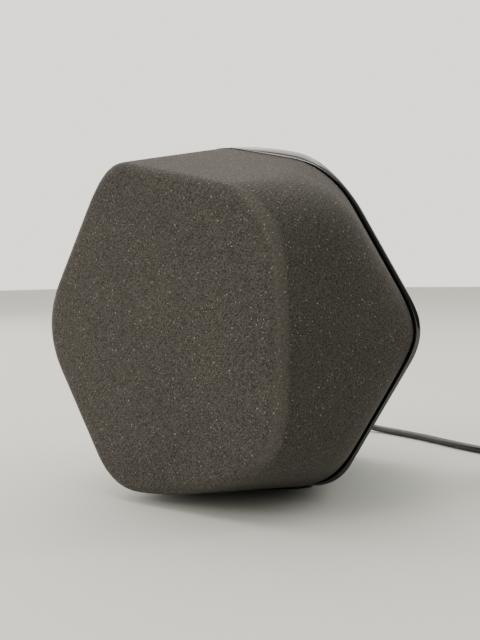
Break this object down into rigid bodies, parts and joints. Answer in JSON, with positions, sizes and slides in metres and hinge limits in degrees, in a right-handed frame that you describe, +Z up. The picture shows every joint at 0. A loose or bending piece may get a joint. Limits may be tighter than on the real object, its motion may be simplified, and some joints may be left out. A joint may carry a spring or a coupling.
{
  "type": "conference speakerphone",
  "caption": "Faceted tabletop speakerphone: a fabric-covered front on a glossy black shell, with push buttons on top, a reflex port and sockets behind, and a mains lead.",
  "frame": {"origin": "on the standing surface, under the middle of the case's box, without the mains lead", "axes": "+X to the right as seen from the front, +Y from the fabric front to the back face, +Z up"},
  "size_m": [0.2703, 0.1971, 0.172],
  "materials": {
    "fabric": "fine woven speckled cloth, matt",
    "gloss_shell": "polished black",
    "matte_plastic": "fine moulded texture",
    "rubber": "soft matt",
    "cord_rubber": "smooth satin jacket",
    "steel": "zinc plated",
    "ferrite": "sintered, matt",
    "cone_paper": "coated paper, fibrous",
    "silk": "coated silk, satin",
    "circuit_board": "solder mask, satin",
    "aluminium": "plain, satin",
    "plated_brass": "nickel plated, bright",
    "light_lens": "frosted"
  },
  "bodies": {
    "case": {"audio_jack": "plated_brass", "baffle_gasket": "rubber", "baffle_screw_1": "steel", "baffle_screw_2": "steel", "baffle_screw_3": "steel", "baffle_screw_4": "steel", "baffle_screw_5": "steel", "baffle_screw_6": "steel", "base_foot": "rubber", "button_board": "circuit_board", "capacitor_1": "aluminium", "capacitor_2": "aluminium", "connector_relief": "cord_rubber", "control_panel": "gloss_shell", "cord_coil": "cord_rubber", "cover_frame": "matte_plastic", "fabric_cover": "fabric", "front_baffle": "matte_plastic", "heatsink": "aluminium", "lead_connector": "matte_plastic", "main_board": "circuit_board", "mains_pin_left": "plated_brass", "mains_pin_right": "plated_brass", "mains_plug": "cord_rubber", "microphone_boot": "rubber", "microphone_capsule": "aluminium", "peg_sleeve_1": "rubber", "peg_sleeve_2": "rubber", "peg_sleeve_3": "rubber", "plug_relief": "cord_rubber", "port_tube": "matte_plastic", "power_cord": "cord_rubber", "power_cord_tail": "cord_rubber", "power_inlet": "matte_plastic", "power_supply_board": "circuit_board", "rear_shell": "gloss_shell", "service_port": "steel", "socket_plate": "matte_plastic", "status_light": "light_lens", "transformer": "ferrite", "trim_ring": "gloss_shell", "tweeter_dome": "silk", "tweeter_housing": "matte_plastic", "wireless_module": "aluminium", "woofer_back_plate": "steel", "woofer_basket": "steel", "woofer_magnet": "ferrite", "woofer_screw_1": "steel", "woofer_screw_2": "steel", "woofer_screw_3": "steel", "woofer_screw_4": "steel", "woofer_spider": "cone_paper", "woofer_surround": "rubber"},
    "volume_down_button": {"volume_down_button": "gloss_shell"},
    "volume_up_button": {"volume_up_button": "gloss_shell"},
    "connect_button": {"connect_button": "gloss_shell"},
    "power_button": {"power_button": "gloss_shell"},
    "cone": {"woofer_cone": "cone_paper", "voice_coil": "aluminium", "woofer_dust_cap": "cone_paper"}
  },
  "joints": [
    {"name": "volume_down_button_press", "type": "slide", "parent": "case", "child": "volume_down_button", "axis": [-0.1195, -0.3933, -0.9116], "range_m": [0, 0.0008], "stiffness_N_per_m": 800},
    {"name": "volume_up_button_press", "type": "slide", "parent": "case", "child": "volume_up_button", "axis": [-0.1195, -0.3933, -0.9116], "range_m": [0, 0.0008], "stiffness_N_per_m": 800},
    {"name": "connect_button_press", "type": "slide", "parent": "case", "child": "connect_button", "axis": [-0.1195, -0.3933, -0.9116], "range_m": [0, 0.0008], "stiffness_N_per_m": 800},
    {"name": "power_button_press", "type": "slide", "parent": "case", "child": "power_button", "axis": [-0.1195, -0.3933, -0.9116], "range_m": [0, 0.0008], "stiffness_N_per_m": 800},
    {"name": "woofer_stroke", "type": "slide", "parent": "case", "child": "cone", "axis": [0, 1, 0], "range_m": [-0.003, 0.003], "stiffness_N_per_m": 1500}
  ]
}
